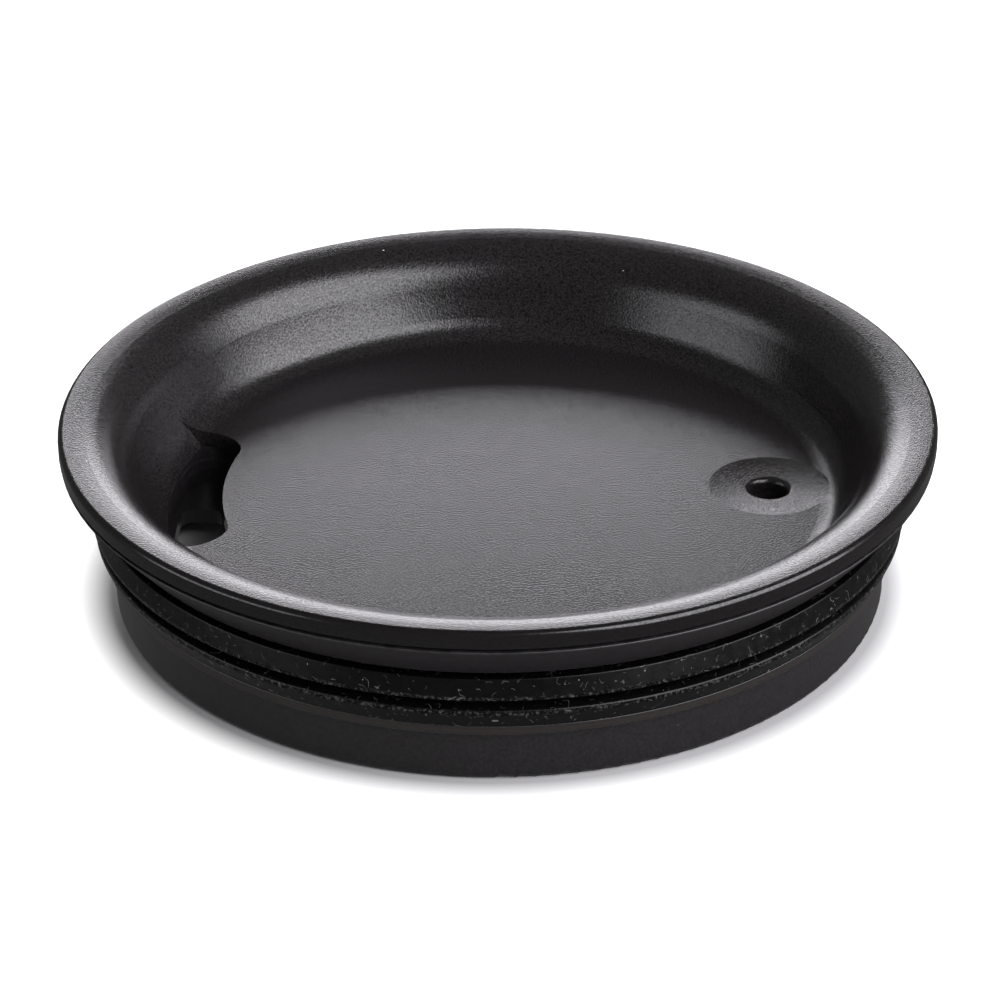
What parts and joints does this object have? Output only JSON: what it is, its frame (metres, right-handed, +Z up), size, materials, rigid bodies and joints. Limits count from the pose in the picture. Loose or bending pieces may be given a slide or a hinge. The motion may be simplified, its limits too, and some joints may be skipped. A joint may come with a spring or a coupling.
{
  "type": "tumbler lid",
  "caption": "Press-in lid for an insulated drinks tumbler: dished top with a sip opening and a vent hole, over a grooved plug with a two-lipped gasket.",
  "frame": {"origin": "centre of the plane that the skirt's lower edge stands on, on the lid's axis", "axes": "+Z up along the lid's axis, out of the cup; -X towards the sip opening; +X towards the vent hole"},
  "size_m": [0.092, 0.092, 0.0196],
  "materials": {
    "dish_plastic": "fine moulded grain, satin black",
    "shell_plastic": "smooth moulded, satin black",
    "silicone": "dusty semi-gloss silicone"
  },
  "bodies": {
    "root": {"dish": "dish_plastic", "lower_shell": "shell_plastic", "gasket": "silicone"}
  },
  "joints": []
}
